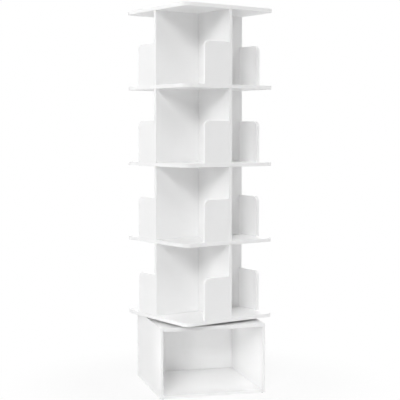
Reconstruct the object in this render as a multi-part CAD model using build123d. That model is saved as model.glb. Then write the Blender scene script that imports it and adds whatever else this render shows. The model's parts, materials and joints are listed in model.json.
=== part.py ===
from build123d import *
import os

# A revolving bookshelf: an open cubby base, a ball-bearing turntable, and a tower of four tiers above it.
# Lengths are in millimetres. The origin is on the floor, on the turning axis; +Z is up, the base opens to -Y.

# Boards: the tower and the base top are of one thickness, the rest of the base is thinner
BOARD = 15.0
BASE_BOARD = 12.0
SHELF_SIDE = 445.0
SHELF_CORNER_RADIUS = 30.0
TIER_COUNT = 4
TIER_CLEAR_HEIGHT = 300.0
DIVIDER_SETBACK = 3.0

# Book stops, the short uprights at the mouth of each compartment
STOP_WIDTH = 120.0
STOP_HEIGHT = 170.0
STOP_CORNER_RADIUS = 24.0

# Base cubby, measured over its boards
BASE_WIDTH = 440.0
BASE_DEPTH = 440.0
BASE_HEIGHT = 286.0

# Stick-on glides under the corners of the base
GLIDE_DIAMETER = 12.0
GLIDE_HEIGHT = 2.0
GLIDE_EDGE_RADIUS = 0.8
GLIDE_MARGIN = 4.0

# Turntable: one ring on the base and one on the tower, with a row of caged balls between them
TURNTABLE_HEIGHT = 11.0
BALL_CIRCLE_DIAMETER = 150.0
BALL_DIAMETER = 6.0
BALL_COUNT = 16
BALL_CLEARANCE = 0.15
RACE_GAP = 3.0
BASE_RING_WIDTH = 18.0
TOWER_RING_WIDTH = 23.0
RING_RUNNING_GAP = 1.5
RING_EDGE_CHAMFER = 0.8
CAGE_WALL = 1.4
CAGE_HEIGHT = 8.0
CAGE_POCKET_CLEARANCE = 0.2
RING_SCREW_COUNT = 6

# Cam fittings: a bolt held in one board's face and a cam that grips its head inside the other board's end
CAM_DIAMETER = 15.0
CAM_SKIN = 2.0
CAM_SETBACK = 24.0
CAM_SLOT_LENGTH = 9.0
CAM_SLOT_WIDTH = 1.6
CAM_SLOT_DEPTH = 2.0
BOLT_HEAD_DIAMETER = 6.6
BOLT_HEAD_LENGTH = 3.0
BOLT_NECK_DIAMETER = 4.4
BOLT_COLLAR_DIAMETER = 7.8
BOLT_COLLAR_LENGTH = 3.0
BOLT_THREAD_DIAMETER = 6.0
BOLT_TIP_COVER = 4.0

# Dowels and screws
DOWEL_DIAMETER = 8.0
BASE_DOWEL_DIAMETER = 6.0
DOWEL_DEPTH_IN_END = 18.0
DOWEL_FACE_COVER = 5.0
SCREW_HEAD_DIAMETER = 8.0
SCREW_HEAD_LENGTH = 2.2
SCREW_DIAMETER = 4.0
SCREW_TIP_LENGTH = 3.0
STOP_SCREW_BITE = 25.0
TOWER_RING_SCREW_BITE = 9.0
BASE_RING_SCREW_BITE = 8.0

# Fits and cutting allowances
FASTENER_CLEARANCE = 0.1
HOLE_END_GAP = 0.5
OVERRUN = 5.0

# Places of fittings, as shares of the board that carries them
CAM_REACH_SHARE = 0.68
DOWEL_REACH_SHARE = 0.34
STOP_SCREW_SHARES = (0.25, 0.75)
STOP_DOWEL_SHARE = 0.5
SIDE_CAM_SHARES = (-0.25, 0.25)
SIDE_DOWEL_SHARES = (-0.4, 0.4)
BACK_CAM_SHARES = (0.3, 0.7)
BACK_DOWEL_SHARES = (0.12, 0.88)

# Tower angle at rest, in degrees from square with the base
TOWER_TURN = 20.0

# Heights of the main levels
BASE_UNDERSIDE = GLIDE_HEIGHT
BASE_TOP_FACE = BASE_UNDERSIDE + BASE_HEIGHT
BASE_TOP_UNDERSIDE = BASE_TOP_FACE - BOARD
TOWER_UNDERSIDE = BASE_TOP_FACE + TURNTABLE_HEIGHT
BALL_LEVEL = BASE_TOP_FACE + TURNTABLE_HEIGHT / 2
TIER_PITCH = TIER_CLEAR_HEIGHT + BOARD

# Plan sizes that follow from the boards
BASE_INSIDE_WIDTH = BASE_WIDTH - 2 * BASE_BOARD
BACK_HEIGHT = BASE_HEIGHT - BASE_BOARD - BOARD
BASE_SIDE_PLACE = (BASE_WIDTH - BASE_BOARD) / 2
BASE_BACK_PLACE = (BASE_DEPTH - BASE_BOARD) / 2
GLIDE_INSET = GLIDE_MARGIN + GLIDE_DIAMETER / 2
DIVIDER_REACH = SHELF_SIDE / 2 - DIVIDER_SETBACK
STOP_PLACE = DIVIDER_REACH - BOARD / 2
CAM_REACH = CAM_REACH_SHARE * DIVIDER_REACH
DOWEL_REACH = DOWEL_REACH_SHARE * DIVIDER_REACH
DOWEL_DEPTH_IN_FACE = BOARD - DOWEL_FACE_COVER
BASE_DOWEL_DEPTH_IN_FACE = BASE_BOARD - DOWEL_FACE_COVER
STOP_SCREW_LENGTH = BOARD + STOP_SCREW_BITE

UP = (0, 0, 1)
DOWN = (0, 0, -1)
REARWARD = (0, 1, 0)
LEFT = -1
RIGHT = 1
HANDS = (LEFT, RIGHT)
QUARTER_TURN = 90

# The four divider arms of a tier, as directions from the turning axis
ARMS = {"front": (0, -1), "right": (1, 0), "back": (0, 1), "left": (-1, 0)}

FROM_BELOW = (Align.CENTER, Align.CENTER, Align.MIN)
FROM_ABOVE = (Align.CENTER, Align.CENTER, Align.MAX)


# Fittings, each drawn about its own axis


def turned(points):
    """A round piece about Z, from its half outline as (radius, height) points."""
    outline = Polyline(*points, close=True)
    return revolve(Plane.XZ * make_face(outline), Axis.Z)


def joint(point, into, face):
    """Where a board's end meets another board's face: Z runs into the end, X to the side a cam opens on."""
    return Plane(origin=point, x_dir=face, z_dir=into).location


def screw_form(length, grow):
    """A countersunk screw pointing up, with its flat head at height zero, made wider all round by grow."""
    shank = SCREW_DIAMETER / 2 + grow
    head = SCREW_HEAD_DIAMETER / 2 + grow
    points = [
        (0, 0),
        (head, 0),
        (shank, SCREW_HEAD_LENGTH),
        (shank, length - SCREW_TIP_LENGTH),
        (0, length),
    ]
    return turned(points)


def screw(length):
    """A countersunk screw."""
    return screw_form(length, 0)


def screw_hole(length):
    """The countersunk hole that takes a screw."""
    return screw_form(length + HOLE_END_GAP, FASTENER_CLEARANCE)


def dowel(diameter, into_end, into_face):
    """A dowel across a joint, from the board that ends there into the board whose face it meets."""
    body = Cylinder(diameter / 2, into_end + into_face, align=FROM_BELOW)
    return Pos(0, 0, -into_face) * body


def dowel_hole(diameter, depth, align=FROM_BELOW):
    """A dowel's hole from the joint into one board."""
    return Cylinder(diameter / 2 + FASTENER_CLEARANCE, depth + HOLE_END_GAP, align=align)


def bolt_head_points(start):
    """Half outline of a cam bolt from its collar at height start to the crown of its head."""
    head_end = CAM_SETBACK + BOLT_HEAD_LENGTH / 2
    return [
        (BOLT_COLLAR_DIAMETER / 2, start),
        (BOLT_COLLAR_DIAMETER / 2, BOLT_COLLAR_LENGTH),
        (BOLT_NECK_DIAMETER / 2, BOLT_COLLAR_LENGTH),
        (BOLT_NECK_DIAMETER / 2, head_end - BOLT_HEAD_LENGTH),
        (BOLT_HEAD_DIAMETER / 2, head_end - BOLT_HEAD_LENGTH),
        (BOLT_HEAD_DIAMETER / 2, head_end),
        (0, head_end),
    ]


def thread_length(board):
    """How far a cam bolt is screwed into the face of a board of this thickness."""
    return board - BOLT_TIP_COVER


def cam_bolt(board):
    """A bolt screwed into a board's face, with its head standing inside the board that meets it."""
    points = [
        (0, -thread_length(board)),
        (BOLT_THREAD_DIAMETER / 2, -thread_length(board)),
        (BOLT_THREAD_DIAMETER / 2, 0),
    ]
    return turned(points + bolt_head_points(0))


def through_bolt():
    """A bolt with a head at each end, sleeved where it passes through a shelf whose top is at height zero."""
    upper = turned([(0, -BOARD / 2)] + bolt_head_points(-BOARD / 2))
    lower = mirror(upper, Plane.XY.offset(-BOARD / 2))
    return upper + lower


def thread_hole(board):
    """The hole in a board's face for a cam bolt's thread."""
    radius = BOLT_THREAD_DIAMETER / 2 + FASTENER_CLEARANCE
    return Cylinder(radius, thread_length(board) + HOLE_END_GAP, align=FROM_ABOVE)


def sleeve_hole():
    """The hole through a shelf for a through bolt's sleeve."""
    radius = BOLT_COLLAR_DIAMETER / 2 + FASTENER_CLEARANCE
    return Pos(0, 0, -BOARD / 2) * Cylinder(radius, BOARD + OVERRUN)


def cam_disc(board, grow):
    """A disc let into the side of a board, flush with the face that the cam opens on, made larger by grow."""
    disc = Cylinder(CAM_DIAMETER / 2 + grow, board - CAM_SKIN + grow, align=FROM_BELOW)
    return Pos(board / 2, 0, CAM_SETBACK) * Rot(0, -QUARTER_TURN, 0) * disc


def cam_lock(board):
    """A cam with the mouth that takes the bolt's head and a cross slot in its open face."""
    body = cam_disc(board, 0)
    mouth_end = CAM_SETBACK + BOLT_HEAD_LENGTH / 2 + HOLE_END_GAP
    mouth = Cylinder(BOLT_HEAD_DIAMETER / 2 + FASTENER_CLEARANCE, mouth_end, align=FROM_BELOW)
    slot = Box(CAM_SLOT_DEPTH + OVERRUN, CAM_SLOT_WIDTH, CAM_SLOT_LENGTH)
    slot_place = Pos(board / 2 + OVERRUN / 2 - CAM_SLOT_DEPTH / 2, 0, CAM_SETBACK)
    cross = [slot_place * slot, slot_place * Rot(QUARTER_TURN, 0, 0) * slot]
    return body - mouth - cross


def cam_pocket(board):
    """The round pocket for a cam and the bore that leads the bolt to it from the board's end."""
    bore = Cylinder(BOLT_COLLAR_DIAMETER / 2 + FASTENER_CLEARANCE, CAM_SETBACK, align=FROM_BELOW)
    return cam_disc(board, FASTENER_CLEARANCE) + bore


# Base cubby: two full-height sides, with the top, the bottom and the back let in between them


def end_joint(hand, along, level, face):
    """On an end of a board between the sides, against one of them; a cam opens on the given face."""
    return joint((hand * BASE_INSIDE_WIDTH / 2, along, level), (-hand, 0, 0), face)


def top_joint(hand, share):
    """On an end of the top; a cam opens downwards, into the cubby."""
    return end_joint(hand, share * BASE_DEPTH, BASE_TOP_FACE - BOARD / 2, DOWN)


def bottom_joint(hand, share):
    """On an end of the bottom; a cam opens downwards, to the floor."""
    return end_joint(hand, share * BASE_DEPTH, BASE_UNDERSIDE + BASE_BOARD / 2, DOWN)


def back_joint(hand, share):
    """On an end of the back; a cam opens to the rear."""
    return end_joint(hand, BASE_BACK_PLACE, BASE_UNDERSIDE + BASE_BOARD + share * BACK_HEIGHT, REARWARD)


# Each kind of joint in the base, with the shares of its cams and of its dowels
BASE_JOINTS = {
    top_joint: (SIDE_CAM_SHARES, SIDE_DOWEL_SHARES),
    bottom_joint: (SIDE_CAM_SHARES, SIDE_DOWEL_SHARES),
    back_joint: (BACK_CAM_SHARES, BACK_DOWEL_SHARES),
}


def cam_places(place, hands):
    """Where one kind of joint has its cams, on the given sides."""
    return [place(hand, share) for hand in hands for share in BASE_JOINTS[place][0]]


def dowel_places(place, hands):
    """Where one kind of joint has its dowels, on the given sides."""
    return [place(hand, share) for hand in hands for share in BASE_JOINTS[place][1]]


def base_side(hand):
    """The left or the right side board, bored in its inner face."""
    board = Box(BASE_BOARD, BASE_DEPTH, BASE_HEIGHT, align=FROM_BELOW)
    face_hole = dowel_hole(BASE_DOWEL_DIAMETER, BASE_DOWEL_DEPTH_IN_FACE, FROM_ABOVE)
    cuts = [spot * thread_hole(BASE_BOARD) for place in BASE_JOINTS for spot in cam_places(place, [hand])]
    cuts += [spot * face_hole for place in BASE_JOINTS for spot in dowel_places(place, [hand])]
    return Pos(hand * BASE_SIDE_PLACE, 0, BASE_UNDERSIDE) * board - cuts


def end_cuts(place, board):
    """Pockets and holes in both ends of a board between the sides, which has this thickness."""
    end_hole = dowel_hole(BASE_DOWEL_DIAMETER, DOWEL_DEPTH_IN_END)
    cuts = [spot * cam_pocket(board) for spot in cam_places(place, HANDS)]
    return cuts + [spot * end_hole for spot in dowel_places(place, HANDS)]


def base_top():
    """The top board, thick enough to carry the tower, bored from below for the turntable's screws."""
    board = Box(BASE_INSIDE_WIDTH, BASE_DEPTH, BOARD, align=FROM_BELOW)
    cuts = end_cuts(top_joint, BOARD)
    cuts += [place * screw_hole(BASE_RING_SCREW_LENGTH) for place in base_ring_screw_places()]
    return Pos(0, 0, BASE_TOP_UNDERSIDE) * board - cuts


def base_bottom():
    """The bottom board."""
    board = Box(BASE_INSIDE_WIDTH, BASE_DEPTH, BASE_BOARD, align=FROM_BELOW)
    return Pos(0, 0, BASE_UNDERSIDE) * board - end_cuts(bottom_joint, BASE_BOARD)


def base_back():
    """The back board, standing on the bottom under the top."""
    board = Box(BASE_INSIDE_WIDTH, BASE_BOARD, BACK_HEIGHT, align=FROM_BELOW)
    return Pos(0, BASE_BACK_PLACE, BASE_UNDERSIDE + BASE_BOARD) * board - end_cuts(back_joint, BASE_BOARD)


def floor_glide():
    """A disc with a rounded lower edge, stuck on from below."""
    disc = Cylinder(GLIDE_DIAMETER / 2, GLIDE_HEIGHT, align=FROM_BELOW)
    return fillet(disc.edges().sort_by(Axis.Z)[0], GLIDE_EDGE_RADIUS)


def base_fittings():
    """Fasteners and glides of the base, one node for each kind."""
    peg = dowel(BASE_DOWEL_DIAMETER, DOWEL_DEPTH_IN_END, BASE_DOWEL_DEPTH_IN_FACE)
    corners = GridLocations(BASE_WIDTH - 2 * GLIDE_INSET, BASE_DEPTH - 2 * GLIDE_INSET, 2, 2)
    thick_ends = cam_places(top_joint, HANDS)
    thin_ends = cam_places(bottom_joint, HANDS) + cam_places(back_joint, HANDS)
    locks = [spot * cam_lock(BOARD) for spot in thick_ends]
    locks += [spot * cam_lock(BASE_BOARD) for spot in thin_ends]
    return {
        "base_cam_locks": locks,
        "base_cam_bolts": [spot * cam_bolt(BASE_BOARD) for spot in thick_ends + thin_ends],
        "base_dowels": [spot * peg for place in BASE_JOINTS for spot in dowel_places(place, HANDS)],
        "floor_glides": [corner * floor_glide() for corner in corners],
    }


def base_nodes():
    """Boards and fittings of the base."""
    boards = {
        "base_left_side": base_side(LEFT),
        "base_right_side": base_side(RIGHT),
        "base_top": base_top(),
        "base_bottom": base_bottom(),
        "base_back": base_back(),
    }
    return boards | base_fittings()


# Turntable: the balls run in a groove shared by the outside of the base ring and the inside of the tower ring


def race_ring(inner, outer, low, high):
    """A ring with chamfered edges and the ball groove, from its radii and heights."""
    profile = Pos((inner + outer) / 2, (low + high) / 2) * Rectangle(outer - inner, high - low)
    profile = chamfer(profile.vertices(), RING_EDGE_CHAMFER)
    groove = Pos(BALL_CIRCLE_DIAMETER / 2, BALL_LEVEL) * Circle(BALL_DIAMETER / 2 + BALL_CLEARANCE)
    return revolve(Plane.XZ * (profile - groove), Axis.Z)


BASE_RING_OUTER = (BALL_CIRCLE_DIAMETER - RACE_GAP) / 2
BASE_RING_INNER = BASE_RING_OUTER - BASE_RING_WIDTH
TOWER_RING_INNER = (BALL_CIRCLE_DIAMETER + RACE_GAP) / 2
TOWER_RING_OUTER = TOWER_RING_INNER + TOWER_RING_WIDTH
GROOVE_DEPTH = (BALL_DIAMETER - RACE_GAP) / 2 + BALL_CLEARANCE
BASE_RING_SCREW_CIRCLE = (BASE_RING_INNER + BASE_RING_OUTER - GROOVE_DEPTH) / 2
TOWER_RING_SCREW_CIRCLE = (TOWER_RING_INNER + GROOVE_DEPTH + TOWER_RING_OUTER) / 2
TOWER_RING_UNDERSIDE = BASE_TOP_FACE + RING_RUNNING_GAP
BASE_RING_SCREW_LENGTH = BOARD + BASE_RING_SCREW_BITE
TOWER_RING_SCREW_LENGTH = TURNTABLE_HEIGHT - RING_RUNNING_GAP + TOWER_RING_SCREW_BITE


def base_ring_screw_places():
    """Under the base top, for screws that go up through it from the cubby into the base ring."""
    circle = PolarLocations(BASE_RING_SCREW_CIRCLE, RING_SCREW_COUNT)
    return [Pos(0, 0, BASE_TOP_UNDERSIDE) * place for place in circle]


def tower_ring_screw_places():
    """Under the tower ring, for screws that go up through it into the tower floor."""
    circle = PolarLocations(TOWER_RING_SCREW_CIRCLE, RING_SCREW_COUNT)
    return [Pos(0, 0, TOWER_RING_UNDERSIDE) * place for place in circle]


def base_ring():
    """The ring on the base top, clear of the tower floor."""
    ring = race_ring(BASE_RING_INNER, BASE_RING_OUTER, BASE_TOP_FACE, TOWER_UNDERSIDE - RING_RUNNING_GAP)
    return ring - [place * screw_hole(BASE_RING_SCREW_LENGTH) for place in base_ring_screw_places()]


def tower_ring():
    """The ring under the tower floor, clear of the base top."""
    ring = race_ring(TOWER_RING_INNER, TOWER_RING_OUTER, TOWER_RING_UNDERSIDE, TOWER_UNDERSIDE)
    return ring - [place * screw_hole(TOWER_RING_SCREW_LENGTH) for place in tower_ring_screw_places()]


def ball_places():
    """The balls' centres on their circle, each with X pointing outwards."""
    return [Pos(0, 0, BALL_LEVEL) * place for place in PolarLocations(BALL_CIRCLE_DIAMETER / 2, BALL_COUNT)]


def ball_cage():
    """The band between the rings, with a round pocket for each ball."""
    outside = Cylinder((BALL_CIRCLE_DIAMETER + CAGE_WALL) / 2, CAGE_HEIGHT)
    inside = Cylinder((BALL_CIRCLE_DIAMETER - CAGE_WALL) / 2, CAGE_HEIGHT + OVERRUN)
    pocket = Cylinder(BALL_DIAMETER / 2 + CAGE_POCKET_CLEARANCE, CAGE_WALL + OVERRUN)
    pockets = [place * Rot(0, QUARTER_TURN, 0) * pocket for place in ball_places()]
    return Pos(0, 0, BALL_LEVEL) * (outside - inside) - pockets


def turntable_nodes():
    """The ring that stays on the base, and the caged balls that roll on it."""
    ring_screws = [place * screw(BASE_RING_SCREW_LENGTH) for place in base_ring_screw_places()]
    return {
        "turntable_base_ring": base_ring(),
        "turntable_base_screws": ring_screws,
        "turntable_ball_cage": ball_cage(),
        "turntable_balls": [place * Sphere(BALL_DIAMETER / 2) for place in ball_places()],
    }


# Tower, drawn square with the base; it is turned to its rest angle as it is written out


def shelf_underside(level):
    """Height of the underside of a board of the tower, counted from the tower floor at level 0."""
    return TOWER_UNDERSIDE + level * TIER_PITCH


def shelf_top(level):
    """Height of the upper face of a board of the tower."""
    return shelf_underside(level) + BOARD


def arm_joint(arm, reach, level, into):
    """A joint at the lower or upper end of a divider arm, at a distance from the turning axis."""
    across, along = ARMS[arm]
    return joint((across * reach, along * reach, level), into, (abs(along), abs(across), 0))


def arm_joints(tier, arm, reach):
    """The joints at the lower and at the upper end of a divider arm."""
    lower = arm_joint(arm, reach, shelf_top(tier), UP)
    upper = arm_joint(arm, reach, shelf_underside(tier + 1), DOWN)
    return [lower, upper]


def level_joints(level, reach):
    """The joints on a shelf: on its top, or under the top panel, which has no tier above it."""
    if level == TIER_COUNT:
        return [arm_joint(arm, reach, shelf_underside(level), DOWN) for arm in ARMS]
    return [arm_joint(arm, reach, shelf_top(level), UP) for arm in ARMS]


def stop_point(arm, along_stop, level):
    """A point in the middle plane of a book stop, measured along it from the face of its divider."""
    across, along = ARMS[arm]
    aside = BOARD / 2 + along_stop
    return (across * STOP_PLACE + along * aside, along * STOP_PLACE - across * aside, level)


def stop_dowel_joint(tier, arm):
    """Where the dowel of a book stop enters its divider."""
    across, along = ARMS[arm]
    point = stop_point(arm, 0, shelf_top(tier) + STOP_DOWEL_SHARE * STOP_HEIGHT)
    return joint(point, (along, -across, 0), UP)


def stop_screw_places(level, arm):
    """Under a shelf, for screws that go up through it into one of the book stops on it."""
    height = shelf_underside(level)
    return [Pos(*stop_point(arm, share * STOP_WIDTH, height)) for share in STOP_SCREW_SHARES]


def tower_board(level):
    """A round-cornered square board, bored for the dividers above and below it."""
    board = extrude(RectangleRounded(SHELF_SIDE, SHELF_SIDE, SHELF_CORNER_RADIUS), BOARD)
    at_end = level in (0, TIER_COUNT)
    bolt_cut = thread_hole(BOARD) if at_end else sleeve_hole()
    dowel_depth = DOWEL_DEPTH_IN_FACE if at_end else BOARD + OVERRUN
    dowel_cut = dowel_hole(DOWEL_DIAMETER, dowel_depth, FROM_ABOVE)
    cuts = [place * bolt_cut for place in level_joints(level, CAM_REACH)]
    cuts += [place * dowel_cut for place in level_joints(level, DOWEL_REACH)]
    if level < TIER_COUNT:
        stop_hole = screw_hole(STOP_SCREW_LENGTH)
        cuts += [place * stop_hole for arm in ARMS for place in stop_screw_places(level, arm)]
    if level == 0:
        cuts += [place * screw_hole(TOWER_RING_SCREW_LENGTH) for place in tower_ring_screw_places()]
    return Pos(0, 0, shelf_underside(level)) * board - cuts


def arm_cuts(tier, arm):
    """Pockets and holes in one arm of a divider."""
    end_hole = dowel_hole(DOWEL_DIAMETER, DOWEL_DEPTH_IN_END)
    cuts = [place * cam_pocket(BOARD) for place in arm_joints(tier, arm, CAM_REACH)]
    cuts += [place * end_hole for place in arm_joints(tier, arm, DOWEL_REACH)]
    cuts.append(stop_dowel_joint(tier, arm) * dowel_hole(DOWEL_DIAMETER, DOWEL_DEPTH_IN_FACE, FROM_ABOVE))
    return cuts


def wide_divider(tier):
    """The divider that runs from side to side of a tier."""
    board = Box(2 * DIVIDER_REACH, BOARD, TIER_CLEAR_HEIGHT, align=FROM_BELOW)
    return Pos(0, 0, shelf_top(tier)) * board - (arm_cuts(tier, "left") + arm_cuts(tier, "right"))


def half_divider(tier, arm):
    """A divider from the wide one's face to the front or the back of a tier."""
    length = DIVIDER_REACH - BOARD / 2
    middle = ARMS[arm][1] * (DIVIDER_REACH + BOARD / 2) / 2
    board = Box(BOARD, length, TIER_CLEAR_HEIGHT, align=FROM_BELOW)
    return Pos(0, middle, shelf_top(tier)) * board - arm_cuts(tier, arm)


def book_stop(tier, arm):
    """A short upright at the end of a divider, with its free upper corner rounded."""
    quarter = list(ARMS).index(arm) * QUARTER_TURN
    panel = Box(STOP_WIDTH, BOARD, STOP_HEIGHT, align=(Align.MAX, Align.CENTER, Align.MIN))
    free_corner = panel.edges().filter_by(Axis.Y).sort_by(Axis.Z)[-2:].sort_by(Axis.X)[0]
    panel = fillet(free_corner, STOP_CORNER_RADIUS)
    panel = Rot(0, 0, quarter) * Pos(-BOARD / 2, -STOP_PLACE, shelf_top(tier)) * panel
    cuts = [stop_dowel_joint(tier, arm) * dowel_hole(DOWEL_DIAMETER, DOWEL_DEPTH_IN_END)]
    cuts += [place * screw_hole(STOP_SCREW_LENGTH) for place in stop_screw_places(tier, arm)]
    return panel - cuts


def shelf_dowels(level):
    """Dowels that locate the dividers on a shelf, right through it where there is a tier on both sides."""
    inner_end = DOWEL_DEPTH_IN_FACE if level in (0, TIER_COUNT) else BOARD + DOWEL_DEPTH_IN_END
    peg = dowel(DOWEL_DIAMETER, DOWEL_DEPTH_IN_END, inner_end)
    return [place * peg for place in level_joints(level, DOWEL_REACH)]


def tower_fittings():
    """Fasteners of the tower, one node for each kind."""
    tiers = range(TIER_COUNT)
    cam_joints = [place for tier in tiers for arm in ARMS for place in arm_joints(tier, arm, CAM_REACH)]
    end_joints = level_joints(0, CAM_REACH) + level_joints(TIER_COUNT, CAM_REACH)
    middle_joints = [place for level in tiers[1:] for place in level_joints(level, CAM_REACH)]
    stop_joints = [stop_dowel_joint(tier, arm) for tier in tiers for arm in ARMS]
    screw_places = [place for tier in tiers for arm in ARMS for place in stop_screw_places(tier, arm)]
    stop_peg = dowel(DOWEL_DIAMETER, DOWEL_DEPTH_IN_END, DOWEL_DEPTH_IN_FACE)
    return {
        "divider_cam_locks": [place * cam_lock(BOARD) for place in cam_joints],
        "divider_end_bolts": [place * cam_bolt(BOARD) for place in end_joints],
        "divider_through_bolts": [place * through_bolt() for place in middle_joints],
        "divider_dowels": [peg for level in range(TIER_COUNT + 1) for peg in shelf_dowels(level)],
        "stop_dowels": [place * stop_peg for place in stop_joints],
        "stop_screws": [place * screw(STOP_SCREW_LENGTH) for place in screw_places],
    }


def tower_nodes():
    """Boards, dividers, book stops and fittings of the tower, with the ring that carries it."""
    ring_screws = [place * screw(TOWER_RING_SCREW_LENGTH) for place in tower_ring_screw_places()]
    nodes = {"turntable_tower_ring": tower_ring(), "turntable_tower_screws": ring_screws}
    names = ["tower_floor"] + [f"shelf_{level}" for level in range(1, TIER_COUNT)] + ["top_panel"]
    for level, name in enumerate(names):
        nodes[name] = tower_board(level)
    for tier in range(TIER_COUNT):
        nodes[f"tier_{tier + 1}_wide_divider"] = wide_divider(tier)
        nodes[f"tier_{tier + 1}_front_divider"] = half_divider(tier, "front")
        nodes[f"tier_{tier + 1}_back_divider"] = half_divider(tier, "back")
        for arm in ARMS:
            nodes[f"tier_{tier + 1}_{arm}_stop"] = book_stop(tier, arm)
    nodes.update(tower_fittings())
    return nodes


def write_node(name, shape, place):
    """One file per node; a list of like pieces becomes a group of separate solids."""
    pieces = shape if isinstance(shape, list) else [shape]
    solids = [place * solid for piece in pieces for solid in piece.solids()]
    export_step(Compound(solids) if len(solids) > 1 else solids[0], os.path.join("parts", f"{name}.step"))


os.makedirs("parts", exist_ok=True)

for node_name, node_shape in (base_nodes() | turntable_nodes()).items():
    write_node(node_name, node_shape, Pos(0, 0, 0))

for node_name, node_shape in tower_nodes().items():
    write_node(node_name, node_shape, Rot(0, 0, TOWER_TURN))
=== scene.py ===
# %% [markdown]
# # A rotating bookshelf, dressed round its CAD frame
# The real object is a tall shelf of white board whose tower turns above an open base. Its fittings don't show
# in the photograph, so the ball bearing, the cams and the screws are guesses. Every board, cam, screw and
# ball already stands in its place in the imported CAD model. So this lesson moves nothing: it loads that model
# as a fixed frame, reads sizes off it, and gives each piece the eased edges, seams, drilled pockets and
# finishes that the solids leave out.

# %% Load the frame
import json
import math

import bmesh
import bpy
import numpy as np
from mathutils import Matrix, Vector


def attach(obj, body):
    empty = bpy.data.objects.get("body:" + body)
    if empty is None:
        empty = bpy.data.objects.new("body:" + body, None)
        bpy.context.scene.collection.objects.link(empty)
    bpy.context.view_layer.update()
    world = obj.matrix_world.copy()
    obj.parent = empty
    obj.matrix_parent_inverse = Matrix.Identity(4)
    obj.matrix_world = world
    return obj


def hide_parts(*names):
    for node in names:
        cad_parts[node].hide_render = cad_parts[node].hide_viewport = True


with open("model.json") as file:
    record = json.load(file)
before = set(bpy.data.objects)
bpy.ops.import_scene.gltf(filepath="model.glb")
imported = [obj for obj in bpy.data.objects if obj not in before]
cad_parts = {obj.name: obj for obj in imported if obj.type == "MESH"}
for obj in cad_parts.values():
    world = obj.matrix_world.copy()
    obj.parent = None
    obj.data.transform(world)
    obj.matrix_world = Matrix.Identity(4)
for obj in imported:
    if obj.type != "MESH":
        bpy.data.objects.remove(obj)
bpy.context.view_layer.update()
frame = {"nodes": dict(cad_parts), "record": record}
nodes = frame["nodes"]
MM = 0.001

# %% [markdown]
# ## Sizes read off the frame
# The tower stands turned from the base, so a plain box round one of its boards would be too large. Taking the
# body's turn out first lays every board along the axes, and then its box is its true length, width and
# thickness. Fittings that share a node are told apart by walking from point to point along mesh edges. The
# sizes could be typed in again instead, but reading them keeps the dressing true to the frame.

# %% Boxes of boards and fittings, square with their body
TOWER_TURN = math.radians(20)
TURNS = {"base": 0.0, "ball_ring": 0.0, "tower": TOWER_TURN}
WELD = 0.001 * MM
members = frame["record"]["behaviour"]["bodies"]
body_of = {node: body for body, names in members.items() for node in names}
slot_of = {part["node"]: part["material_slot"] for part in frame["record"]["subparts"]}


def body_turn(node):
    """The turn from a drawing square with the axes to where the node's body stands."""
    return Matrix.Rotation(TURNS[body_of[node]], 4, "Z")


def square_mesh(node):
    """A welded working copy of a CAD node, turned back square with the axes."""
    mesh = bmesh.new()
    mesh.from_mesh(nodes[node].data)
    bmesh.ops.transform(mesh, matrix=body_turn(node).inverted(), verts=mesh.verts)
    bmesh.ops.remove_doubles(mesh, verts=mesh.verts, dist=WELD)
    return mesh


def box_round(points):
    """Lowest and highest corner of some points."""
    table = np.array(points)
    return Vector(table.min(axis=0)), Vector(table.max(axis=0))


def solid_boxes(node):
    """The box of each separate solid in a node, in a steady order."""
    mesh = square_mesh(node)
    left = set(mesh.verts)
    boxes = []
    while left:
        reached = [left.pop()]
        points = []
        while reached:
            vertex = reached.pop()
            points.append(vertex.co.copy())
            for edge in vertex.link_edges:
                other = edge.other_vert(vertex)
                if other in left:
                    left.remove(other)
                    reached.append(other)
        boxes.append(box_round(points))
    mesh.free()
    return sorted(boxes, key=lambda box: [round(value, 5) for value in box[0]])


board_names = [node for node in nodes if slot_of[node] == "white_board"]
print("boards to dress:", len(board_names), "of", len(nodes), "nodes")

# %% [markdown]
# ## Effects that several finishes share
# No real surface is one even colour. Three small shader groups make that unevenness, so that each finish only
# says how much of it there is. *Uneven finish* lets colour and gloss drift from patch to patch, *fine grain*
# gives a height for small bumps, and *turned lines* gives the height of the fine rings that a lathe tool
# leaves round the upright axis. Image textures could do the same, but nodes work at any scale and need no
# unwrapping.

# %% Shader groups
TOOL_MARK_SCALE = 60.0
ONLY_LEVEL = (1, 1, 0)


def plug(tree, value, socket):
    """Link an output to a socket, or set the socket to a plain value."""
    if isinstance(value, bpy.types.NodeSocket):
        tree.links.new(value, socket)
    else:
        socket.default_value = value


def calculate(tree, operation, *values):
    """A Math node on outputs or plain numbers."""
    node = tree.nodes.new("ShaderNodeMath")
    node.operation = operation
    for value, socket in zip(values, node.inputs):
        plug(tree, value, socket)
    return node.outputs["Value"]


def noise(tree, place, scale, detail=2.0):
    """A noise value from 0 to 1, in patches of about one over scale metres."""
    node = tree.nodes.new("ShaderNodeTexNoise")
    plug(tree, place, node.inputs["Vector"])
    plug(tree, scale, node.inputs["Scale"])
    node.inputs["Detail"].default_value = detail
    return node.outputs["Fac"]


def new_group(name, inputs, outputs):
    """An empty shader group with named sockets, its input node and its output node."""
    tree = bpy.data.node_groups.new(name, "ShaderNodeTree")
    for label, kind in inputs:
        tree.interface.new_socket(label, in_out="INPUT", socket_type="NodeSocket" + kind)
    for label, kind in outputs:
        tree.interface.new_socket(label, in_out="OUTPUT", socket_type="NodeSocket" + kind)
    return tree, tree.nodes.new("NodeGroupInput").outputs, tree.nodes.new("NodeGroupOutput").inputs


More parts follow.
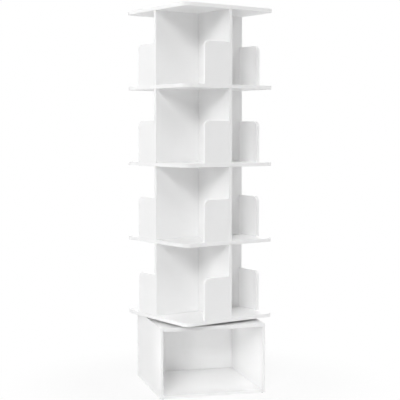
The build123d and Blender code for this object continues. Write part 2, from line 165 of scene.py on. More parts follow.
def uneven_finish_group():
    """Colour and roughness that drift a little from patch to patch."""
    inputs = [("Place", "Vector"), ("Color", "Color"), ("Roughness", "Float"), ("Scale", "Float"),
              ("Color Drift", "Float"), ("Roughness Drift", "Float")]
    tree, given, made = new_group("uneven_finish", inputs, [("Color", "Color"), ("Roughness", "Float")])
    # the noise runs from 0 to 1, the swing from -1 to 1
    swing = calculate(tree, "MULTIPLY_ADD", noise(tree, given["Place"], given["Scale"]), 2.0, -1.0)
    brightness = calculate(tree, "MULTIPLY_ADD", swing, given["Color Drift"], 1.0)
    tint = tree.nodes.new("ShaderNodeVectorMath")
    tint.operation = "SCALE"
    plug(tree, given["Color"], tint.inputs["Vector"])
    plug(tree, brightness, tint.inputs["Scale"])
    plug(tree, tint.outputs["Vector"], made["Color"])
    gloss = calculate(tree, "MULTIPLY_ADD", swing, given["Roughness Drift"], given["Roughness"])
    plug(tree, gloss, made["Roughness"])
    return tree


def fine_grain_group():
    """The height of small even bumps, as on pressed or moulded surfaces."""
    inputs = [("Place", "Vector"), ("Scale", "Float")]
    tree, given, made = new_group("fine_grain", inputs, [("Height", "Float")])
    plug(tree, noise(tree, given["Place"], given["Scale"], detail=3.0), made["Height"])
    return tree


def turned_lines_group():
    """The height of fine rings round the upright axis, uneven in depth like a tool's marks."""
    inputs = [("Place", "Vector"), ("Lines", "Float")]
    tree, given, made = new_group("turned_lines", inputs, [("Height", "Float")])
    flat = tree.nodes.new("ShaderNodeVectorMath")
    flat.operation = "MULTIPLY"
    flat.inputs[1].default_value = ONLY_LEVEL
    plug(tree, given["Place"], flat.inputs[0])
    radius = tree.nodes.new("ShaderNodeVectorMath")
    radius.operation = "LENGTH"
    plug(tree, flat.outputs["Vector"], radius.inputs[0])
    phase = calculate(tree, "MULTIPLY", radius.outputs["Value"], given["Lines"])
    wave = calculate(tree, "SINE", phase)
    unevenness = noise(tree, given["Place"], TOOL_MARK_SCALE)
    plug(tree, calculate(tree, "MULTIPLY", wave, unevenness), made["Height"])
    return tree


UNEVEN_FINISH = uneven_finish_group()
FINE_GRAIN = fine_grain_group()
TURNED_LINES = turned_lines_group()
print("shader groups:", [group.name for group in (UNEVEN_FINISH, FINE_GRAIN, TURNED_LINES)])

# %% [markdown]
# ## White board
# The boards are taken to be chipboard between sheets of white melamine paper, whose face keeps the fine
# pearl of the press plate. Their narrow sides carry a glued plastic band, a shade smoother than the face.
# Where a pocket is drilled, the raw chips show. The underside of the tower's floor, which hardly shows, is
# grey
# instead, and that grey is painted shade: a dark sheet that deepens the shade in the gap below it, which two
# white boards left lighter than it looks. That is a guess: in the photograph the gap below it is darker than
# two white boards made it here. Each of the four is its own material, because they meet along hard lines, and
# the board's mesh can say which face is which.

# %% Finishes of the boards
CHIP_SCALE = 600.0
DARK_CHIP = (0.30, 0.20, 0.11, 1)
PALE_CHIP = (0.66, 0.50, 0.31, 1)
CHIP_ROUGHNESS = 0.85


def new_finish(name):
    """A material, its node tree, its main shader and the place on the piece, in metres."""
    material = bpy.data.materials.new(name)
    material.use_nodes = True
    tree = material.node_tree
    place = tree.nodes.new("ShaderNodeTexCoord").outputs["Object"]
    return material, tree, tree.nodes["Principled BSDF"], place


def use_group(tree, group, **values):
    """Place a shader group; an underscore in a value's name stands for a space in the socket's."""
    node = tree.nodes.new("ShaderNodeGroup")
    node.node_tree = group
    for label, value in values.items():
        plug(tree, value, node.inputs[label.replace("_", " ")])
    return node.outputs


def bump(tree, shader, height, depth):
    """Raise a surface by a height from 0 to 1 times depth, in metres."""
    node = tree.nodes.new("ShaderNodeBump")
    node.inputs["Distance"].default_value = depth
    plug(tree, height, node.inputs["Height"])
    plug(tree, node.outputs["Normal"], shader.inputs["Normal"])


def make_uneven(tree, shader, place, color, roughness, scale, color_drift, roughness_drift):
    """Give a shader a colour and a roughness that drift from patch to patch."""
    made = use_group(tree, UNEVEN_FINISH, Place=place, Color=(*color, 1), Roughness=roughness, Scale=scale,
                     Color_Drift=color_drift, Roughness_Drift=roughness_drift)
    plug(tree, made["Color"], shader.inputs["Base Color"])
    plug(tree, made["Roughness"], shader.inputs["Roughness"])


def melamine_face():
    """Satin white melamine with a fine pearl."""
    material, tree, shader, place = new_finish("melamine_face")
    make_uneven(tree, shader, place, color=(0.93, 0.93, 0.93), roughness=0.42, scale=9.0,
                color_drift=0.008, roughness_drift=0.06)
    pearl = use_group(tree, FINE_GRAIN, Place=place, Scale=900.0)
    bump(tree, shader, pearl["Height"], depth=0.02 * MM)
    return material


def edge_band():
    """The plastic band on a board's narrow sides."""
    material, tree, shader, place = new_finish("edge_band")
    make_uneven(tree, shader, place, color=(0.935, 0.935, 0.935), roughness=0.34, scale=25.0,
                color_drift=0.006, roughness_drift=0.05)
    skin = use_group(tree, FINE_GRAIN, Place=place, Scale=350.0)
    bump(tree, shader, skin["Height"], depth=0.02 * MM)
    return material


def raw_chipboard():
    """The pressed chips inside a board, seen where it is drilled."""
    material, tree, shader, place = new_finish("raw_chipboard")
    chips = tree.nodes.new("ShaderNodeTexVoronoi")
    chips.inputs["Scale"].default_value = CHIP_SCALE
    plug(tree, place, chips.inputs["Vector"])
    shades = tree.nodes.new("ShaderNodeValToRGB")
    shades.color_ramp.elements[0].color = DARK_CHIP
    shades.color_ramp.elements[1].color = PALE_CHIP
    plug(tree, chips.outputs["Color"], shades.inputs["Fac"])
    plug(tree, shades.outputs["Color"], shader.inputs["Base Color"])
    shader.inputs["Roughness"].default_value = CHIP_ROUGHNESS
    bump(tree, shader, chips.outputs["Distance"], depth=0.3 * MM)
    return material


def gap_shade_underside():
    """Painted shade: a grey sheet under the tower's floor, darkening the gap below it."""
    material, tree, shader, place = new_finish("gap_shade_underside")
    make_uneven(tree, shader, place, color=(0.72, 0.72, 0.72), roughness=0.6, scale=40.0,
                color_drift=0.08, roughness_drift=0.06)
    grain = use_group(tree, FINE_GRAIN, Place=place, Scale=700.0)
    bump(tree, shader, grain["Height"], depth=0.03 * MM)
    return material


BOARD_FINISHES = [melamine_face(), edge_band(), raw_chipboard(), gap_shade_underside()]
# the last index is the grey underside, painted shade for the gap below the tower
FACE, BANDED, DRILLED, GAP_SHADE = range(len(BOARD_FINISHES))
print("board finishes:", [material.name for material in BOARD_FINISHES])

# %% [markdown]
# ## A board with eased edges and a banded rim
# A sawn board is a plain box, and in a render a box with knife edges looks false, because no edge catches the
# light. A bevel modifier would ease the edges, but the seam of the band needs loops of its own. So the rim is
# drawn as a short profile, from the flat face over the seam and round the arris, and that profile is carried
# round the board's outline once for each side.

# %% Outline and rim of a board
ARRIS = 0.8 * MM
BAND_THICKNESS = 1.2 * MM
SEAM_WIDTH = 0.25 * MM
SEAM_DEPTH = 0.15 * MM
ARRIS_STEPS = 3
CORNER_STEPS = 9
SHELF_CORNER = 30 * MM
STOP_CORNER = 24 * MM
CUT_CORNER = 2 * MM
UPRIGHT = 2
QUARTER = math.pi / 2
# the board whose underside is grey, painted shade for the gap below it
GAP_SHADE_BOARD = "tower_floor"


def board_axes(low, high):
    """The axis through a board's thickness, and the two along its outline."""
    size = high - low
    thin = min(range(3), key=lambda axis: size[axis])
    return thin, (thin + 1) % 3, (thin + 2) % 3


def outline_corners(low, high, across, along):
    """Corners of the outline, anticlockwise, each with the direction back into the board."""
    sides = [(high, high), (low, high), (low, low), (high, low)]
    return [(u[across], v[along], -1 if u is high else 1, -1 if v is high else 1) for u, v in sides]


def corner_radii(points, corners, thin, across, along):
    """Each corner's radius: large where the CAD solid has no point near the corner."""
    large = SHELF_CORNER if thin == UPRIGHT else STOP_CORNER
    radii = []
    for u, v, _, _ in corners:
        nearest = np.hypot(points[:, across] - u, points[:, along] - v).min()
        radii.append(large if nearest > CUT_CORNER else ARRIS)
    return radii


def outline(corners, radii, inset):
    """Points round the outline, moved in by inset, with the same count for any inset."""
    points = []
    for quarter, ((u, v, into_u, into_v), radius) in enumerate(zip(corners, radii)):
        rest = max(radius - inset, 0.0)
        centre_u = u + into_u * (inset + rest)
        centre_v = v + into_v * (inset + rest)
        for step in range(CORNER_STEPS + 1):
            angle = (quarter + step / CORNER_STEPS) * QUARTER
            points.append((centre_u + rest * math.cos(angle), centre_v + rest * math.sin(angle)))
    return points


def rim_profile():
    """Inset and depth of each loop, from the flat face over the seam and round the arris."""
    seam = [(BAND_THICKNESS + SEAM_WIDTH, 0.0), (BAND_THICKNESS + SEAM_WIDTH / 2, SEAM_DEPTH)]
    strip = [(BAND_THICKNESS, 0.0)]
    angles = [step / ARRIS_STEPS * QUARTER for step in range(ARRIS_STEPS + 1)]
    arris = [(ARRIS * (1 - math.sin(angle)), ARRIS * (1 - math.cos(angle))) for angle in angles]
    return seam + strip + arris


def board_mesh(node):
    """The dressed board of a CAD node, square with the axes."""
    source = square_mesh(node)
    points = np.array([vertex.co for vertex in source.verts])
    source.free()
    low, high = box_round(points)
    thin, across, along = board_axes(low, high)
    corners = outline_corners(low, high, across, along)
    radii = corner_radii(points, corners, thin, across, along)
    lower = [(inset, low[thin] + depth) for inset, depth in rim_profile()]
    upper = [(inset, high[thin] - depth) for inset, depth in reversed(rim_profile())]
    mesh = bmesh.new()
    loops = []
    for inset, level in lower + upper:
        loop = []
        for u, v in outline(corners, radii, inset):
            place = Vector()
            place[across], place[along], place[thin] = u, v, level
            loop.append(mesh.verts.new(place))
        loops.append(loop)
    for below, above in zip(loops, loops[1:]):
        for spot in range(len(below)):
            after = (spot + 1) % len(below)
            side = mesh.faces.new((below[spot], below[after], above[after], above[spot]))
            side.material_index = BANDED
    underside = mesh.faces.new(reversed(loops[0]))
    # the tower floor's grey underside is painted shade for the gap below it
    underside.material_index = GAP_SHADE if node == GAP_SHADE_BOARD else FACE
    mesh.faces.new(loops[-1])
    bmesh.ops.remove_doubles(mesh, verts=mesh.verts, dist=WELD)
    return mesh, (low, high)


print("loops round a board:", 2 * len(rim_profile()))

# %% [markdown]
# ## Pockets for cams and screw heads
# Two sorts of fitting show on the boards: zinc cams let in flush with a face, and the heads of countersunk
# screws. On the real board each sits in a drilled pocket with a hairline gap round it. The pockets are cut
# with a Boolean from a turned cutter, one cutter mesh for all the pockets of a board. Painting rings on the
# face would be quicker, but the gap then has no depth.

# %% Turned shapes and the pockets they cut
CAM_GAP = 0.2 * MM
SCREW_GAP = 0.2 * MM
POCKET_OVERRUN = 2 * MM
TURN_STEPS = 40
SCREW_DIAMETER = 4 * MM
SCREW_HEAD_LENGTH = 2.2 * MM
FLUSH = 0.05 * MM


def turned_mesh(mesh, points, place, steps=TURN_STEPS, material_index=0):
    """Add a closed shape turned about its own upright axis from (radius, height) points, set in place."""
    rings = []
    for radius, height in points:
        ring = []
        for step in range(steps):
            angle = step / steps * 2 * math.pi
            spot = Vector((radius * math.cos(angle), radius * math.sin(angle), height))
            ring.append(mesh.verts.new(place @ spot))
        rings.append(ring)
    made = [mesh.faces.new(reversed(rings[0])), mesh.faces.new(rings[-1])]
    for below, above in zip(rings, rings[1:]):
        for step in range(steps):
            after = (step + 1) % steps
            made.append(mesh.faces.new((below[step], below[after], above[after], above[step])))
    for face in made:
        face.material_index = material_index


def contains(box, point):
    """Whether a box holds a point."""
    low, high = box
    return all(low[axis] <= point[axis] <= high[axis] for axis in range(3))


def pointing(axis, sign, origin):
    """A place at origin whose upright points along an axis of the body."""
    direction = Vector((0, 0, 0))
    direction[axis] = sign
    return Matrix.Translation(origin) @ direction.to_track_quat("Z", "Y").to_matrix().to_4x4()


def open_side(box, axis, board):
    """Along an axis, the side on which a fitting lies flush with the board's face."""
    return 1 if abs(box[1][axis] - board[1][axis]) < FLUSH else -1


def fitting_centre(box):
    """Middle of a fitting's box."""
    return (box[0] + box[1]) / 2


def cam_pockets(mesh, board, boxes):
    """Cut shapes for the cams let into a board."""
    count = 0
    for box in boxes:
        centre = fitting_centre(box)
        if not contains(board, centre):
            continue
        size = box[1] - box[0]
        axis = min(range(3), key=lambda way: size[way])
        sign = open_side(box, axis, board)
        radius = max(size) / 2 + CAM_GAP
        inner = -size[axis] / 2 - CAM_GAP
        outer = size[axis] / 2 + POCKET_OVERRUN
        profile = [(radius, inner), (radius, outer)]
        turned_mesh(mesh, profile, pointing(axis, sign, centre), material_index=DRILLED)
        count += 1
    return count


def screw_pockets(mesh, board, boxes):
    """Cut shapes for the screws whose heads lie flush in a board's underside."""
    count = 0
    for box in boxes:
        foot = fitting_centre(box)
        foot.z = box[0].z
        if not contains(board, foot + Vector((0, 0, FLUSH))) or abs(foot.z - board[0].z) > FLUSH:
            continue
        head = (box[1].x - box[0].x) / 2 + SCREW_GAP
        shank = SCREW_DIAMETER / 2 + SCREW_GAP
        depth = board[1].z - board[0].z + POCKET_OVERRUN
        profile = [(head, -POCKET_OVERRUN), (head, 0.0), (shank, SCREW_HEAD_LENGTH), (shank, depth)]
        turned_mesh(mesh, profile, Matrix.Translation(foot), material_index=DRILLED)
        count += 1
    return count


cams = {"base": solid_boxes("base_cam_locks"), "tower": solid_boxes("divider_cam_locks")}
board_screws = {"base": solid_boxes("turntable_base_screws"), "tower": solid_boxes("stop_screws")}
print("cams:", {body: len(boxes) for body, boxes in cams.items()})
print("screws with heads in a board:", {body: len(boxes) for body, boxes in board_screws.items()})

# %% [markdown]
# ## Cutting and placing the boards
# Each board is drawn square with the axes, cut, and only then turned to where its body stands. The cut is
# kept as a plain mesh instead of a live modifier, so that the board stays one finished shape at every pose.
# Normals that follow the largest faces keep the rim's rounding from shading the broad flat sides.


# %% Make the boards
def plain_object(name, mesh):
    """A mesh object made from a working mesh, linked to the scene."""
    data = bpy.data.meshes.new(name)
    mesh.to_mesh(data)
    mesh.free()
    made = bpy.data.objects.new(name, data)
    bpy.context.scene.collection.objects.link(made)
    return made


def cut_shape(piece, cutter, joined=False):
    """A piece's mesh after a cutter has been taken out of it; joined is for a cutter that crosses itself."""
    cut = piece.modifiers.new("cut", "BOOLEAN")
    cut.object = cutter
    cut.solver = "EXACT"
    cut.use_self = joined
    bpy.context.view_layer.update()
    shape = bpy.data.meshes.new_from_object(piece.evaluated_get(bpy.context.evaluated_depsgraph_get()))
    piece.modifiers.remove(cut)
    bpy.data.objects.remove(cutter)
    return shape


def cut_pockets(board, cutter):
    """Cut a board's pockets and keep the result as a plain mesh."""
    for material in BOARD_FINISHES:
        cutter.data.materials.append(material)
    board.data = cut_shape(board, cutter)


def settle_shading(piece):
    """Smooth shading whose normals follow the largest faces, so that flat faces stay flat."""
    piece.data.shade_smooth()
    normals = piece.modifiers.new("even normals", "WEIGHTED_NORMAL")
    normals.keep_sharp = True


def dress_board(node):
    """Make the dressed board that stands for a CAD board, pockets and all."""
    mesh, box = board_mesh(node)
    board = plain_object(node + "_dressed", mesh)
    for material in BOARD_FINISHES:
        board.data.materials.append(material)
    cutter_mesh = bmesh.new()
    body = body_of[node]
    count = cam_pockets(cutter_mesh, box, cams[body]) + screw_pockets(cutter_mesh, box, board_screws[body])
    cutter = plain_object("pocket_cutter", cutter_mesh)
    if count:
        cut_pockets(board, cutter)
    else:
        bpy.data.objects.remove(cutter)
    board.data.transform(body_turn(node))
    settle_shading(board)
    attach(board, body)
    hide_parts(node)
    return count


pocket_count = sum(dress_board(node) for node in board_names)
print("boards made:", len(board_names), "with", pocket_count, "pockets")

# %% [markdown]
# ## Metal, wood and plastic fittings
# Most fittings keep their CAD shapes and get finishes. Die-cast zinc is dull and slightly grainy, plated
# steel brighter, the balls are polished, and the bearing rings carry the lathe's fine lines. Dowels are
# beech, the ball cage is natural nylon and the glides are black moulded plastic. The materials could be one
# shader with many settings, but a function for each reads like the list of materials that it is.

# %% Finishes of the fittings
WOOD_GRAIN_STRETCH = (1, 1, 0.08)


def cast_zinc():
    """Dull grainy zinc of the cams."""
    material, tree, shader, place = new_finish("cast_zinc")
    make_uneven(tree, shader, place, color=(0.60, 0.61, 0.62), roughness=0.46, scale=160.0,
                color_drift=0.06, roughness_drift=0.08)
    shader.inputs["Metallic"].default_value = 1.0
    grain = use_group(tree, FINE_GRAIN, Place=place, Scale=1400.0)
    bump(tree, shader, grain["Height"], depth=0.06 * MM)
    return material


def plated_steel():
    """Bright zinc plating on screws and bolts."""
    material, tree, shader, place = new_finish("plated_steel")
    make_uneven(tree, shader, place, color=(0.66, 0.67, 0.68), roughness=0.28, scale=220.0,
                color_drift=0.05, roughness_drift=0.07)
    shader.inputs["Metallic"].default_value = 1.0
    grain = use_group(tree, FINE_GRAIN, Place=place, Scale=1800.0)
    bump(tree, shader, grain["Height"], depth=0.02 * MM)
    return material


def polished_ball():
    """Hard polished steel."""
    material, tree, shader, place = new_finish("polished_ball")
    make_uneven(tree, shader, place, color=(0.74, 0.74, 0.75), roughness=0.10, scale=300.0,
                color_drift=0.02, roughness_drift=0.03)
    shader.inputs["Metallic"].default_value = 1.0
    return material


def turned_metal():
    """Aluminium bearing rings, turned on a lathe."""
    material, tree, shader, place = new_finish("turned_metal")
    make_uneven(tree, shader, place, color=(0.70, 0.71, 0.72), roughness=0.32, scale=40.0,
                color_drift=0.03, roughness_drift=0.05)
    shader.inputs["Metallic"].default_value = 1.0
    lines = use_group(tree, TURNED_LINES, Place=place, Lines=12000.0)
    bump(tree, shader, lines["Height"], depth=0.02 * MM)
    return material


def beech():
    """Pale wood with its grain along the height."""
    material, tree, shader, place = new_finish("beech")
    stretch = tree.nodes.new("ShaderNodeMapping")
    stretch.inputs["Scale"].default_value = WOOD_GRAIN_STRETCH
    plug(tree, place, stretch.inputs["Vector"])
    make_uneven(tree, shader, stretch.outputs["Vector"], color=(0.66, 0.47, 0.29), roughness=0.62,
                scale=700.0, color_drift=0.22, roughness_drift=0.08)
    grain = use_group(tree, FINE_GRAIN, Place=stretch.outputs["Vector"], Scale=1500.0)
    bump(tree, shader, grain["Height"], depth=0.08 * MM)
    return material


def natural_nylon():
    """Milky nylon of the ball cage."""
    material, tree, shader, place = new_finish("natural_nylon")
    make_uneven(tree, shader, place, color=(0.80, 0.79, 0.73), roughness=0.45, scale=80.0,
                color_drift=0.03, roughness_drift=0.06)
    grain = use_group(tree, FINE_GRAIN, Place=place, Scale=900.0)
    bump(tree, shader, grain["Height"], depth=0.03 * MM)
    return material


def black_plastic():
    """Black moulded plastic of the glides."""
    material, tree, shader, place = new_finish("black_plastic")
    make_uneven(tree, shader, place, color=(0.028, 0.028, 0.03), roughness=0.52, scale=120.0,
                color_drift=0.15, roughness_drift=0.08)
    grain = use_group(tree, FINE_GRAIN, Place=place, Scale=1100.0)
    bump(tree, shader, grain["Height"], depth=0.05 * MM)
    return material


FITTING_FINISHES = {
    "cam_zinc": cast_zinc(),
    "fastener_steel": plated_steel(),
    "ball_steel": polished_ball(),
    "turntable_metal": turned_metal(),
    "dowel_wood": beech(),
    "cage_plastic": natural_nylon(),
    "glide_plastic": black_plastic(),
}
for node, slot in slot_of.items():
    if slot in FITTING_FINISHES:
        nodes[node].data.materials.clear()
        nodes[node].data.materials.append(FITTING_FINISHES[slot])
print("fitting finishes:", len(FITTING_FINISHES))

# %% [markdown]
# ## Screws
# The CAD screws are smooth and their heads are bare. A real chipboard screw has a cross recess for the driver
# and a coarse thread. One screw is made for each CAD node of screws: its thread is a swell that climbs round
# the core as the angle grows, and its recess is cut with a Boolean. Copies then go to the place of every CAD
# screw, each turned further than the one before, because no one drives all screws to the same angle.

# %% Countersunk screws
SCREW_STEPS = 16
HEAD_RIM = 0.3 * MM
THREAD_PITCH = 2.4 * MM
THREAD_DEPTH = 0.7 * MM
THREAD_LOOPS = 4
THREAD_SHARPNESS = 3.0
TIP_LENGTH = 4 * MM
TIP_RADIUS = 0.2 * MM
RECESS_SPAN = 4.4 * MM
RECESS_FLOOR_SPAN = 1.6 * MM
RECESS_WING = 0.95 * MM
RECESS_DEPTH = 2.2 * MM
RECESS_LIP = 0.2 * MM
SCREW_SPIN = math.radians(137.5)
SHARP_ANGLE = math.radians(35)


def thread_swell(height, angle, start, end):
    """How far the thread stands out from the core at a height and an angle."""
    if not start < height < end:
        return 0.0
    phase = (height / THREAD_PITCH - angle / (2 * math.pi)) % 1.0
    return THREAD_DEPTH * max(0.0, 1.0 - THREAD_SHARPNESS * abs(phase - 0.5))


def screw_rings(head, length):
    """Radius and height of each ring of a screw, from its head to its tip."""
    core = SCREW_DIAMETER / 2 - THREAD_DEPTH
    start = SCREW_HEAD_LENGTH + THREAD_PITCH / 2
    end = length - TIP_LENGTH
    count = int((end - start) / THREAD_PITCH * THREAD_LOOPS)
    top = [(head - HEAD_RIM / 2, 0.0), (head, HEAD_RIM / 2), (head, HEAD_RIM), (core, SCREW_HEAD_LENGTH)]
    body = [(core, start + (end - start) * step / count) for step in range(count + 1)]
    return top + body + [(TIP_RADIUS, length)], start, end


def screw_blank(head, length):
    """A screw without its recess, standing on its head."""
    rings, start, end = screw_rings(head, length)
    mesh = bmesh.new()
    turned_mesh(mesh, rings, Matrix.Identity(4), steps=SCREW_STEPS)
    for vertex in mesh.verts:
        radius = math.hypot(vertex.co.x, vertex.co.y)
        swell = thread_swell(vertex.co.z, math.atan2(vertex.co.y, vertex.co.x), start, end)
        vertex.co.xy *= 1 + swell / radius
    return mesh


def recess_cutter():
    """Two crossed wedges that cut the driver's recess."""
    mesh = bmesh.new()
    for turn in (0, QUARTER):
        wedge = bmesh.ops.create_cube(mesh, size=1.0)["verts"]
        for vertex in wedge:
            outside = vertex.co.z < 0
            vertex.co.x *= RECESS_SPAN if outside else RECESS_FLOOR_SPAN
            vertex.co.y *= RECESS_WING
            vertex.co.z = -RECESS_LIP if outside else RECESS_DEPTH
        bmesh.ops.rotate(mesh, verts=wedge, matrix=Matrix.Rotation(turn, 3, "Z"))
    return mesh


def screw_shape(head, length):
    """The finished mesh of one screw."""
    screw = plain_object("screw_blank", screw_blank(head, length))
    cutter = plain_object("recess_cutter", recess_cutter())
    shape = cut_shape(screw, cutter, joined=True)
    bpy.data.objects.remove(screw)
    return shape


def dress_screws(node):
    """Put a detailed screw at the place of each CAD screw of a node."""
    boxes = solid_boxes(node)
    size = boxes[0][1] - boxes[0][0]
    shape = screw_shape(size.x / 2, size.z)
    mesh = bmesh.new()
    for count, box in enumerate(boxes):
        before = len(mesh.verts)
        mesh.from_mesh(shape)
        mesh.verts.ensure_lookup_table()
        foot = fitting_centre(box)
        foot.z = box[0].z
        place = Matrix.Translation(foot) @ Matrix.Rotation(count * SCREW_SPIN, 4, "Z")
        bmesh.ops.transform(mesh, matrix=body_turn(node) @ place, verts=mesh.verts[before:])
    screws = plain_object(node + "_dressed", mesh)
    screws.data.materials.append(FITTING_FINISHES["fastener_steel"])
    screws.data.shade_smooth()
    screws.data.set_sharp_from_angle(angle=SHARP_ANGLE)
    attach(screws, body_of[node])
    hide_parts(node)
    return len(boxes)


for node in ("stop_screws", "turntable_base_screws", "turntable_tower_screws"):
    print(node, "dressed:", dress_screws(node))

# %% [markdown]
# ## Floor and backdrop
# The photograph is a cut-out on white. A lamp bright enough to burn the floor out would burn the white boards
# out too. So the floor is white to the camera by itself, through the Light Path node, and only near the
# object does part of it stay a plain matt surface, which keeps the shadow where the base stands. The world
# beyond it is white to look at and in reflections, so it adds to the boards' sheen, but gives no matt light.

# %% Floor and world
FLOOR_SIZE = 30.0
SHADOW_SHARE = 0.12
SHADOW_FULL_WITHIN = 0.35
SHADOW_NONE_BEYOND = 0.9
FLOOR_COLOR = (0.90, 0.90, 0.90)
WHITE = (1, 1, 1, 1)


def seen_directly(tree):
    """1 for rays from the camera, a reflection or glass, and 0 for rays that gather matt light."""
    path = tree.nodes.new("ShaderNodeLightPath").outputs
    direct = calculate(tree, "MAXIMUM", path["Is Camera Ray"], path["Is Glossy Ray"])
    return calculate(tree, "MAXIMUM", direct, path["Is Transmission Ray"])


def floor_finish():
    """White to the camera, and a matt surface that takes the shadow near the object."""
    material = bpy.data.materials.new("studio_floor")
    material.use_nodes = True
    tree = material.node_tree
    tree.nodes.clear()
    matt = tree.nodes.new("ShaderNodeBsdfDiffuse")
    matt.inputs["Color"].default_value = (*FLOOR_COLOR, 1)
    white = tree.nodes.new("ShaderNodeEmission")
    white.inputs["Color"].default_value = WHITE
    distance = tree.nodes.new("ShaderNodeVectorMath")
    distance.operation = "LENGTH"
    plug(tree, tree.nodes.new("ShaderNodeTexCoord").outputs["Object"], distance.inputs[0])
    near = tree.nodes.new("ShaderNodeMapRange")
    near.interpolation_type = "SMOOTHSTEP"
    plug(tree, distance.outputs["Value"], near.inputs["Value"])
    near.inputs["From Min"].default_value = SHADOW_FULL_WITHIN
    near.inputs["From Max"].default_value = SHADOW_NONE_BEYOND
    near.inputs["To Min"].default_value = 1 - SHADOW_SHARE
    near.inputs["To Max"].default_value = 1.0
    mix = tree.nodes.new("ShaderNodeMixShader")
    plug(tree, calculate(tree, "MULTIPLY", seen_directly(tree), near.outputs["Result"]), mix.inputs["Fac"])
    plug(tree, matt.outputs["BSDF"], mix.inputs[1])
    plug(tree, white.outputs["Emission"], mix.inputs[2])
    plug(tree, mix.outputs["Shader"], tree.nodes.new("ShaderNodeOutputMaterial").inputs["Surface"])
    return material


def make_floor():
    """A level floor under the object."""
    mesh = bmesh.new()
    bmesh.ops.create_grid(mesh, x_segments=1, y_segments=1, size=FLOOR_SIZE / 2)
    floor = plain_object("floor", mesh)
    floor.data.materials.append(floor_finish())


def make_world():
    """White to the camera, in reflections and through glass, and no matt light on the object."""
    world = bpy.data.worlds.new("studio")
    bpy.context.scene.world = world
    world.use_nodes = True
    tree = world.node_tree
    tree.nodes.clear()
    white = tree.nodes.new("ShaderNodeBackground")
    white.inputs["Color"].default_value = WHITE
    plug(tree, seen_directly(tree), white.inputs["Strength"])
    plug(tree, white.outputs["Background"], tree.nodes.new("ShaderNodeOutputWorld").inputs["Surface"])


make_floor()
make_world()
print("floor and world made")

# %% [markdown]
# ## Lamps
# In the photograph every tier is lit alike, so the lamps stand far off, as suns with a wide soft disc. Faces
# that look to the left front are the brightest, those that look to the right front a little darker, and the
# shelves shade the inner corners from above. Five rectangular beams pass into the cubby, which the tower and
# the base's own top would otherwise leave in shade. They are a little smaller than its opening, so that they
# nearly miss the front edges. A narrow spot lights the front of the cubby's right wall, and another the
# base's top beside the gap. One lamp behind keeps the back of the object readable. The strengths were solved
# so that the faces come near the photograph's tones, and say nothing of the real studio. A single strong lamp
# would be simpler, but its hard shadows would cut across the tiers.

# %% Lamps
# each sun: azimuth (0 in front, growing to the right), elevation, softness (all in degrees), strength
SUNS = {
    "key": (-27, 26, 18, 1.16),
    "above": (-12, 60, 25, 0.58),
    "left_side": (-84, 18, 30, 0.77),
    "left_back": (-120, 8, 20, 0.38),
    "right_front": (58, 36, 40, 0.76),
    "right_side": (100, 30, 40, 0.52),
    "behind": (170, 25, 60, 0.90),
}
# each spot: azimuth and elevation in degrees, the point it aims at, cone in degrees, power in watts
SPOTS = {
    "cubby_edge": (-78, 4, (0.214, -0.17, 0.145), 4.4, 140),
    "base_top_left": (-62, 60, (-0.19, -0.16, 0.288), 3.0, 130),
}
SPOT_DISTANCE = 3.6
SPOT_RADIUS = 0.1
SPOT_BLEND = 1.0
# each beam: azimuth and elevation, the middle of its way through the cubby's front, width, height, watts
BEAMS = {
    "cubby_wall": (-48, 2, (-0.02, -0.22, 0.146), 0.20, 0.20, 0.029),
    "cubby_floor": (-15, 32, (0.01, -0.22, 0.15), 0.33, 0.17, 0.031),
    "cubby_floor_front": (-15, 32, (0.03, -0.22, 0.118), 0.31, 0.115, 0.015),
    "cubby_back": (14, 3, (0.055, -0.22, 0.148), 0.26, 0.18, 0.006),
    "cubby_back_right": (-22, 3, (-0.03, -0.22, 0.148), 0.20, 0.18, 0.0102),
}
BEAM_DISTANCE = 0.9
BEAM_SPREAD = math.radians(4)


def away(azimuth, elevation):
    """The direction from the object to a lamp; azimuth 0 is in front and grows to the right."""
    a, e = math.radians(azimuth), math.radians(elevation)
    return Vector((math.sin(a) * math.cos(e), -math.cos(a) * math.cos(e), math.sin(e)))


def place_lamp(data, place, direction):
    """Put a lamp in the scene, shining along a direction."""
    lamp = bpy.data.objects.new(data.name, data)
    lamp.location = place
    lamp.rotation_euler = direction.to_track_quat("-Z", "Y").to_euler()
    bpy.context.scene.collection.objects.link(lamp)


def sun_lamp(name, azimuth, elevation, softness, strength):
    """A far lamp with a wide disc, which lights the whole height alike."""
    data = bpy.data.lights.new(name, "SUN")
    data.angle = math.radians(softness)
    data.energy = strength
    place_lamp(data, Vector(), -away(azimuth, elevation))


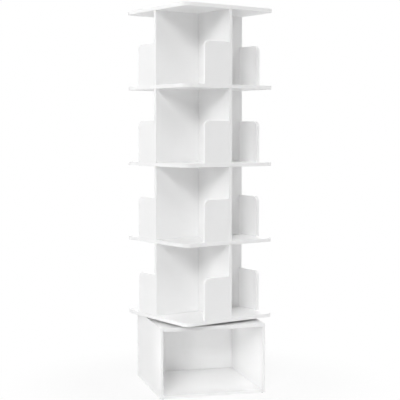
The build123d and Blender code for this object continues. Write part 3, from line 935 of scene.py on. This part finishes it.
def spot_lamp(name, azimuth, elevation, aim, cone, power):
    """A far lamp with a narrow cone and a soft rim."""
    data = bpy.data.lights.new(name, "SPOT")
    data.spot_size = math.radians(cone)
    data.spot_blend = SPOT_BLEND
    data.shadow_soft_size = SPOT_RADIUS
    data.energy = power
    toward = away(azimuth, elevation)
    place_lamp(data, Vector(aim) + SPOT_DISTANCE * toward, -toward)


def beam_lamp(name, azimuth, elevation, middle, width, height, power):
    """A rectangular lamp whose light hardly fans out."""
    data = bpy.data.lights.new(name, "AREA")
    data.shape = "RECTANGLE"
    data.size = width
    data.size_y = height
    data.spread = BEAM_SPREAD
    data.energy = power
    toward = away(azimuth, elevation)
    place_lamp(data, Vector(middle) + BEAM_DISTANCE * toward, -toward)


for name, settings in SUNS.items():
    sun_lamp(name, *settings)
for name, settings in SPOTS.items():
    spot_lamp(name, *settings)
for name, settings in BEAMS.items():
    beam_lamp(name, *settings)
print("lamps:", [*SUNS, *SPOTS, *BEAMS])

# %% [markdown]
# ## Camera
# The place of the camera was found by fitting a pinhole camera to the edges of the photograph: a long lens,
# a little above the middle of the tower, looking slightly down. White boards pass light to and fro many
# times, so the scene also asks for more bounces than usual.

# %% Camera
CAMERA_DISTANCE = 4.4634
CAMERA_HEIGHT = 1.0702
CAMERA_SIDE = math.radians(15.192)
CAMERA_YAW = math.radians(0.044)
CAMERA_TILT = math.radians(3.677)
LENS = 95.70
SENSOR = 36.0
WHITE_ROOM_BOUNCES = 12


def make_camera():
    """The photograph's camera."""
    data = bpy.data.cameras.new("photo_camera")
    data.lens = LENS
    data.sensor_width = SENSOR
    camera = bpy.data.objects.new("photo_camera", data)
    side = CAMERA_DISTANCE * math.sin(CAMERA_SIDE)
    back = CAMERA_DISTANCE * math.cos(CAMERA_SIDE)
    camera.location = (-side, -back, CAMERA_HEIGHT)
    camera.rotation_euler = (QUARTER - CAMERA_TILT, 0, -CAMERA_SIDE - CAMERA_YAW)
    bpy.context.scene.collection.objects.link(camera)
    bpy.context.scene.camera = camera


make_camera()
bpy.context.scene.view_settings.view_transform = "Standard"
bpy.context.scene.cycles.diffuse_bounces = WHITE_ROOM_BOUNCES
print("camera set")
